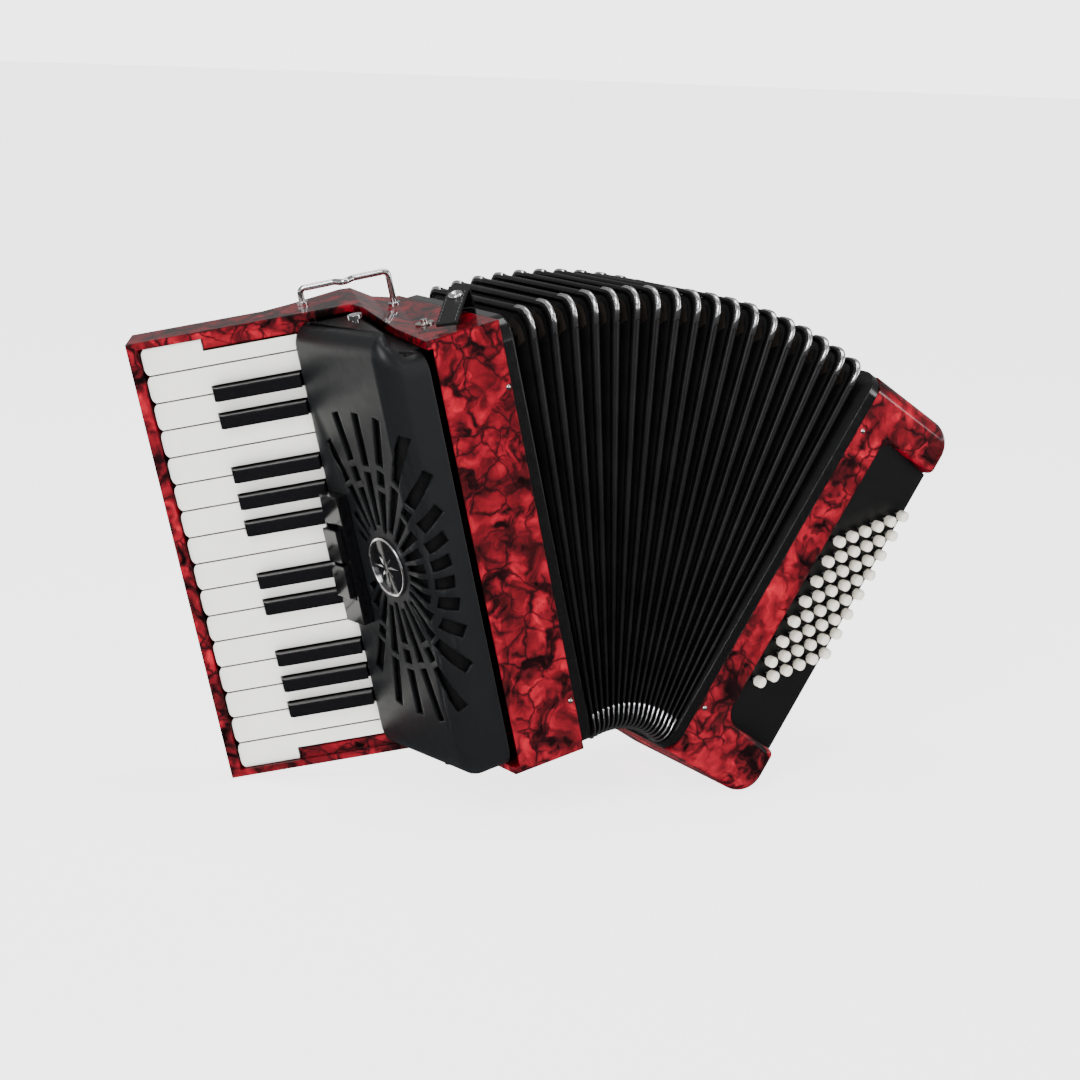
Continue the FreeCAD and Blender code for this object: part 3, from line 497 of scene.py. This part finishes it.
grille = node_copy("treble_grille", "grille_soft")
work = merged(grille.data, TREBLE)
for above in (0.0007, 0.002, 0.004, 0.007, 0.011, 0.016):
    slice_at(work, GRILLE_FOOT + above)
for step in range(14):
    slice_at(work, SLICE_TOP - SLICE_STEP * step)
bmesh.ops.triangulate(work, faces=[face for face in work.faces if len(face.verts) > 4])
for vertex in work.verts:
    inward = skin_inward(vertex.co)
    left = max(min(vertex.co.z - GRILLE_FOOT, grille_top(vertex.co) - vertex.co.z), 0.0)
    if inward is not None and left < SOFT_END:
        vertex.co += inward * (SOFT_END - math.sqrt(SOFT_END ** 2 - (SOFT_END - left) ** 2)) * SOFT_SHARE
store(work, grille.data, TREBLE)
grille.data.shade_smooth()
grille.data.set_sharp_from_angle(angle=math.radians(38))
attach(grille, "treble")
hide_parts("treble_grille")

line = [FACE @ Vector((along, GAUZE_BACK, 0.0)) for along in (0.009, 0.0965)]
for step in range(7):
    angle = math.radians(180 + 15 * step)
    line.append(TREBLE @ Vector((RIDGE.x + RIDGE_ROUND + GAUZE_ROUND * math.cos(angle),
                                 RIDGE.y + GAUZE_ROUND * math.sin(angle), 0.0)))
line.append(TREBLE @ Vector((-0.0590, RIDGE.y - GAUZE_ROUND, 0.0)))
points = [point + TREBLE_UP * up for up in (0.032, 0.282) for point in line]
faces = [(index, index + 1, index + 1 + len(line), index + len(line)) for index in range(len(line) - 1)]
gauze = piece("gauze", points, faces, GAUZE)
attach(gauze, "treble")
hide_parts("grille_gauze")


# -------------------------------------------------- bellows
HALF = 0.5 / FOLDS                        # half of one fold's share of the fan
CLOTH_THICK, RIDGE_INSET = 0.0012, 0.001  # the folds' cloth, and its distance from the frame's outline
SHOE_LEG, SHOE_STEPS = 0.008, 8           # straight leg of a corner shoe, and facets round its corner


def fold_mesh(ridge):
    """Cloth from one valley over a ridge to the next valley; the first and last ones end at the frames."""
    share, valley, shoulder = ridge / FOLDS, RIDGE_INSET + FOLD_DEPTH, 0.0014
    if ridge > 0:
        outline = [(share - HALF, valley), (share - HALF * 0.12, shoulder)]
    else:
        outline = [(0.0, RIDGE_INSET)]
    if 0 < ridge < FOLDS:
        outline.append((share, 0.0009))
    if ridge < FOLDS:
        outline += [(share + HALF * 0.12, shoulder), (share + HALF, valley)]
    else:
        outline.append((1.0, RIDGE_INSET))
    rings = [fold_loop(at, inset, CORNER * 0.9, 3) for at, inset in outline]
    rings += [fold_loop(at, inset + CLOTH_THICK, CORNER * 0.9, 3) for at, inset in reversed(outline)]
    return tube_between(rings, closed=True)


def tape_mesh(share):
    """The rounded edging tape on one ridge."""
    reach = HALF * 0.46
    section = ((share - reach, 0.0038), (share - reach * 0.55, 0.0006), (share, 0.0001),
               (share + reach * 0.55, 0.0006), (share + reach, 0.0038), (share, 0.0019))
    return tube_between([fold_loop(at, inset, CORNER, 4) for at, inset in section], closed=True)


def shoe_run(inset, corner):
    """Depth and height of the points along a corner shoe: a straight leg, the round corner, a straight leg."""
    (depth, height), start = corner_arcs(inset, CORNER)[corner]
    first = math.radians(start)
    angles = [first + math.radians(90 * step / SHOE_STEPS) for step in range(SHOE_STEPS + 1)]
    run = [(depth + CORNER * math.cos(angle), height + CORNER * math.sin(angle)) for angle in angles]
    for at, way, turn in ((0, -1, first), (-1, 1, first + math.pi / 2)):
        leg = (run[at][0] - way * SHOE_LEG * math.sin(turn), run[at][1] + way * SHOE_LEG * math.cos(turn))
        run.insert(0 if at == 0 else len(run), leg)
    return run


def shoe_mesh(share):
    """The four bent metal shoes that clasp one ridge's corners."""
    reach = HALF * 0.34
    section = ((share - reach, 0.0040), (share - reach * 0.62, 0.0004), (share - reach * 0.25, -0.0007),
               (share + reach * 0.25, -0.0007), (share + reach * 0.62, 0.0004), (share + reach, 0.0040))
    points, faces = [], []
    for corner in range(4):
        base = len(points)
        for at, inset in section:
            run = shoe_run(inset, corner)
            points += [fold_plane(at) @ Vector((0.0, *spot)) for spot in run]
        for row in range(len(section) - 1):
            for step in range(len(run) - 1):
                here = base + row * len(run) + step
                faces.append((here, here + 1, here + len(run) + 1, here + len(run)))
    return points, faces


def gusset_mesh(share):
    """The leather gussets in the corners of the valleys on both sides of one ridge."""
    points, faces = [], []
    for side in (-1, 1):
        ring = fold_loop(share + side * HALF * 0.55, 0.0062, CORNER + 0.002, 2)
        deep = fold_loop(share + side * HALF * 0.95, 0.0150, CORNER, 2)
        for corner in range(4):
            base = len(points)
            points += ring[corner * 3:corner * 3 + 3] + deep[corner * 3:corner * 3 + 3]
            faces += [(base, base + 1, base + 4, base + 3), (base + 1, base + 2, base + 5, base + 4)]
    return points, faces


for ridge in range(FOLDS + 1):
    fold = piece(f"fold_{ridge:02d}", *fold_mesh(ridge), CLOTH, smooth=False)
    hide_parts("bellows_folds")
    follow_fan(fold, ridge / FOLDS)

for ridge in range(1, FOLDS):
    share = ridge / FOLDS
    tape = piece(f"fold_tape_{ridge:02d}", *tape_mesh(share), TAPE)
    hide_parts("bellows_folds")
    follow_fan(tape, share)

    shoe = piece(f"corner_shoe_{ridge:02d}", *shoe_mesh(share), STEEL)
    thick = shoe.modifiers.new("plate", "SOLIDIFY")
    thick.thickness = 0.0006
    thick.offset = -1.0
    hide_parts("bellows_corners")
    follow_fan(shoe, share)

    gusset = piece(f"corner_gusset_{ridge:02d}", *gusset_mesh(share), GUSSET, smooth=False)
    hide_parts("bellows_corners")
    follow_fan(gusset, share)


# -------------------------------------------------- bass buttons
ROWS, COLUMNS = 6, 8
FIRST_ACROSS, FIRST_UP = 0.006, 0.1978    # place of the top button of the first row, on the board
ROW_PITCH, BUTTON_PITCH, ROW_CLIMB = 0.0096, 0.0171, 0.0092
SHAFT = ((0.0020, -0.0062), (0.0020, 0.0045))
CAP = ((0.0030, 0.0042), (0.0039, 0.0045), (0.0042, 0.0052), (0.0042, 0.0094), (0.0039, 0.0103),
       (0.0031, 0.0108), (0.0017, 0.01095))

for row in range(ROWS):
    points, faces, caps = [], [], []
    for column in range(COLUMNS):
        across, up = FIRST_ACROSS + ROW_PITCH * row, FIRST_UP - BUTTON_PITCH * column + ROW_CLIMB * row
        place = BOARD @ Matrix.Translation(Vector((across, 0.0, up)))
        for profile in (SHAFT, CAP):
            more, joined = turned(profile, place)
            base = len(points)
            points += more
            faces += [tuple(base + index for index in face) for face in joined]
            caps += [profile is CAP] * len(joined)
    buttons = piece(f"buttons_row_{row + 1}", points, faces, GLOSS)
    buttons.data.materials.append(IVORY)
    for polygon, is_cap in zip(buttons.data.polygons, caps):
        polygon.material_index = 1 if is_cap else 0
    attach(buttons, f"bass_buttons_row_{row + 1}")
    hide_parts(f"bass_buttons_row_{row + 1}")


# -------------------------------------------------- stitching on the straps
STITCH, STITCH_GAP = 0.0032, 0.0016
STITCH_WIDE, STITCH_HIGH, STITCH_SUNK = 0.0007, 0.0008, 0.0002
STITCH_ENDS = ((-0.5, 0.2, 0.0), (-0.35, 0.5, 0.6), (0.35, 0.5, 0.6), (0.5, 0.2, 0.0))


def stitches(name, body, path, outward):
    """A row of raised stitches along a line of points; outward says which way each of them stands up."""
    points, faces = [], []
    for here, there, up in zip(path[:-1], path[1:], outward):
        run = there - here
        count = max(1, round(run.length / (STITCH + STITCH_GAP)))
        ahead = run.normalized()
        side = ahead.cross(up).normalized()
        for index in range(count):
            middle = here + run * ((index + 0.5) / count)
            rings = []
            for reach, width, height in STITCH_ENDS:
                centre = middle + ahead * STITCH * reach
                wide, high = STITCH_WIDE * width, STITCH_HIGH * height
                rings.append([centre - side * wide - up * STITCH_SUNK,
                              centre - side * wide * 0.6 + up * high,
                              centre + side * wide * 0.6 + up * high,
                              centre + side * wide - up * STITCH_SUNK])
            more, joined = tube_between(rings)
            base = len(points)
            points += more
            faces += [tuple(base + corner for corner in face) for face in joined]
    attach(piece(name, points, faces, THREAD), body)


# the hand strap is an arc that bows out from the bass case's end between two heights
bow, low, high = 0.036, 0.034, HEIGHT - 0.032
radius = (((high - low) / 2) ** 2 + bow * bow) / (2 * bow)
centre = Vector((BASS_REACH + bow - radius, 0.0, (low + high) / 2))
sweep = math.asin((high - low) / 2 / radius) * 0.93
for row, depth in (("front", 0.0690), ("back", 0.1210)):
    path, outward = [], []
    for step in range(41):
        angle = -sweep + 2 * sweep * step / 40
        path.append(BASS @ (centre + Vector((radius * math.cos(angle), depth, radius * math.sin(angle)))))
        outward.append(BASS.to_3x3() @ Vector((math.cos(angle), 0.0, math.sin(angle))))
    stitches(f"strap_stitches_{row}", "bass", path, outward)


# -------------------------------------------------- snap and stitching on the open closure strap
SNAP = ((0.0052, -0.0004), (0.0052, 0.0008), (0.0045, 0.0015), (0.0031, 0.0015), (0.0024, 0.0008))
strap_start = Vector((-0.031, 0.016, HEIGHT + 0.0049))
strap_end = Vector((-0.002, 0.050, HEIGHT + 0.0165))
strap_run = strap_end - strap_start
strap_side = Vector((0.038, -0.034, 0.0)).normalized()
strap_up = strap_side.cross(strap_run).normalized()
for name, side in (("closure_stitches_left", -1), ("closure_stitches_right", 1)):
    shift = strap_side * side * 0.0059 + strap_run * 0.03
    path = [TREBLE @ (strap_start + shift), TREBLE @ (strap_start + strap_run * 0.92 + shift)]
    stitches(name, "treble", path, [TREBLE.to_3x3() @ strap_up])
snap_axes = Matrix((strap_side, -strap_up, strap_side.cross(-strap_up))).transposed().to_4x4()
snap_place = TREBLE @ Matrix.Translation(strap_start.lerp(strap_end, 0.82)) @ snap_axes
snap = piece("closure_snap", *turned(SNAP, snap_place, 32), CHROME)
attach(snap, "treble")


# -------------------------------------------------- emblem on the grille: disc, ring and star
EMBLEM_ALONG, EMBLEM_UP = 0.062, 0.160    # its middle on the grille's long face
DISC = ((0.0204, 0.0001), (0.0204, 0.0010), (0.0200, 0.0012))
RING = ((0.0218, 0.0001), (0.0219, 0.0014), (0.0215, 0.0018), (0.0201, 0.0018), (0.0197, 0.0014),
        (0.0197, 0.0001))
LONG_RAY, SHORT_RAY = 0.0150, 0.0095


def emblem_point(along, up, height):
    """A point of the emblem, from its middle and out from the grille's face."""
    return FACE @ Vector((EMBLEM_ALONG + along, -height, EMBLEM_UP + up))


def emblem_part(name, points, faces, material, smooth=True):
    made = piece(name, points, faces, material, smooth)
    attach(made, "treble")
    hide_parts("grille_emblem")


disc_place = FACE @ Matrix.Translation(Vector((EMBLEM_ALONG, 0.0, EMBLEM_UP)))
emblem_part("emblem_disc", *turned(DISC, disc_place, 64), GLOSS)

rings = []
for turn in range(72):
    angle = math.radians(5 * turn)
    rings.append([emblem_point(radius * math.cos(angle), radius * math.sin(angle), height)
                  for radius, height in RING])
emblem_part("emblem_ring", *tube_between(rings, closed=True), CHROME)

points, faces = [], []
for ray in range(8):
    angle = math.radians(45 * ray)
    tip = LONG_RAY if ray % 2 == 0 else SHORT_RAY
    base = len(points)
    for out, side, height in ((0.0028, 0.0, 0.0022), (0.0060, 0.0011, 0.0013), (tip, 0.0, 0.0013),
                              (0.0060, -0.0011, 0.0013)):
        points.append(emblem_point(out * math.cos(angle) - side * math.sin(angle),
                                   out * math.sin(angle) + side * math.cos(angle), height))
    faces.append((base, base + 1, base + 2, base + 3))
emblem_part("emblem_star", points, faces, CHROME, smooth=False)


# -------------------------------------------------- camera, floor and light
camera = bpy.data.objects.new("camera", bpy.data.cameras.new("camera"))
camera.data.lens, camera.data.sensor_width = 81.84, 36.0
axes = Matrix(((0.8762, 0.0651, -0.4776), (-0.4808, 0.1896, -0.8561), (0.0349, 0.9797, 0.1975)))
camera.matrix_world = Matrix.Translation(Vector((-0.869, -1.5525, 0.540))) @ axes.normalized().to_4x4()
bpy.context.scene.collection.objects.link(camera)
bpy.context.scene.camera = camera

WHITE, BLACK = (1.0, 1.0, 1.0, 1.0), (0.0, 0.0, 0.0, 1.0)
FLOOR_REACH, FLOOR_LEVEL = 40, -0.0002
WALL_RADIUS, WALL_SIDES, WALL_LEVELS = 39, 72, (-0.5, 60.0)

floor_finish = Shader("studio_floor", Roughness=0.8, Emission_Color=WHITE, Emission_Strength=3.0)
mottling = floor_finish.ramp(floor_finish.noise(3.0, 2.0), [(0.3, grey(0.90)), (0.7, grey(0.92))])
floor_finish.link(mottling, "Base Color")
points = [(x * FLOOR_REACH, y * FLOOR_REACH, FLOOR_LEVEL) for x, y in ((-1, -1), (1, -1), (1, 1), (-1, 1))]
floor = piece("floor", points, [(0, 1, 2, 3)], floor_finish.material, smooth=False)

angles = [math.radians(360 * side / WALL_SIDES) for side in range(WALL_SIDES)]
points = [(WALL_RADIUS * math.cos(angle), WALL_RADIUS * math.sin(angle), height)
          for height in WALL_LEVELS for angle in angles]
faces = [(side, (side + 1) % WALL_SIDES, (side + 1) % WALL_SIDES + WALL_SIDES, side + WALL_SIDES)
         for side in range(WALL_SIDES)]
wall_finish = Shader("studio_wall", Base_Color=BLACK, Specular_IOR_Level=0.0, Emission_Color=WHITE,
                     Emission_Strength=3.85)
wall = piece("backdrop", points, faces, wall_finish.material, smooth=False)
wall.visible_diffuse = wall.visible_shadow = False
for staged in (floor, wall):
    staged.visible_glossy = False

# the world is a soft bright band at the horizon, nearly black below and dim above
BANDS = ((0.0, 0.01), (0.47, 0.02), (0.485, 0.50), (0.505, 0.50), (0.53, 0.08), (1.0, 0.07))
world = bpy.data.worlds.new("studio")
bpy.context.scene.world = world
world.use_nodes = True
sky = world.node_tree
split = sky.nodes.new("ShaderNodeSeparateXYZ")
sky.links.new(sky.nodes.new("ShaderNodeTexCoord").outputs["Generated"], split.inputs[0])
level = sky.nodes.new("ShaderNodeMapRange")
level.inputs["From Min"].default_value = -1.0
sky.links.new(split.outputs["Z"], level.inputs["Value"])
glow = sky.nodes.new("ShaderNodeValToRGB")
while len(glow.color_ramp.elements) < len(BANDS):
    glow.color_ramp.elements.new(0.5)
for element, (at, shade) in zip(glow.color_ramp.elements, BANDS):
    element.position = at
    element.color = (*grey(shade), 1.0)
sky.links.new(level.outputs["Result"], glow.inputs["Fac"])
sky.links.new(glow.outputs["Color"], sky.nodes["Background"].inputs["Color"])
sky.nodes["Background"].inputs["Strength"].default_value = 4.0


def softbox(name, place, target, size, power):
    """A rectangular lamp at a place, turned to a target."""
    lamp = bpy.data.lights.new(name, "AREA")
    lamp.shape = "RECTANGLE"
    lamp.size, lamp.size_y = size
    lamp.energy = power
    made = bpy.data.objects.new(name, lamp)
    made.matrix_world = (Matrix.Translation(Vector(place))
                         @ (Vector(target) - Vector(place)).to_track_quat("-Z", "Y").to_matrix().to_4x4())
    bpy.context.scene.collection.objects.link(made)


softbox("key_light", (-1.7, -1.5, 1.7), (-0.05, 0.0, 0.2), (0.8, 1.4), 40.0)
softbox("side_light", (1.7, -1.7, 1.0), (0.05, 0.0, 0.18), (0.5, 1.6), 15.0)
softbox("top_light", (0.1, 0.1, 2.1), (0.0, 0.0, 0.15), (1.8, 0.7), 15.0)
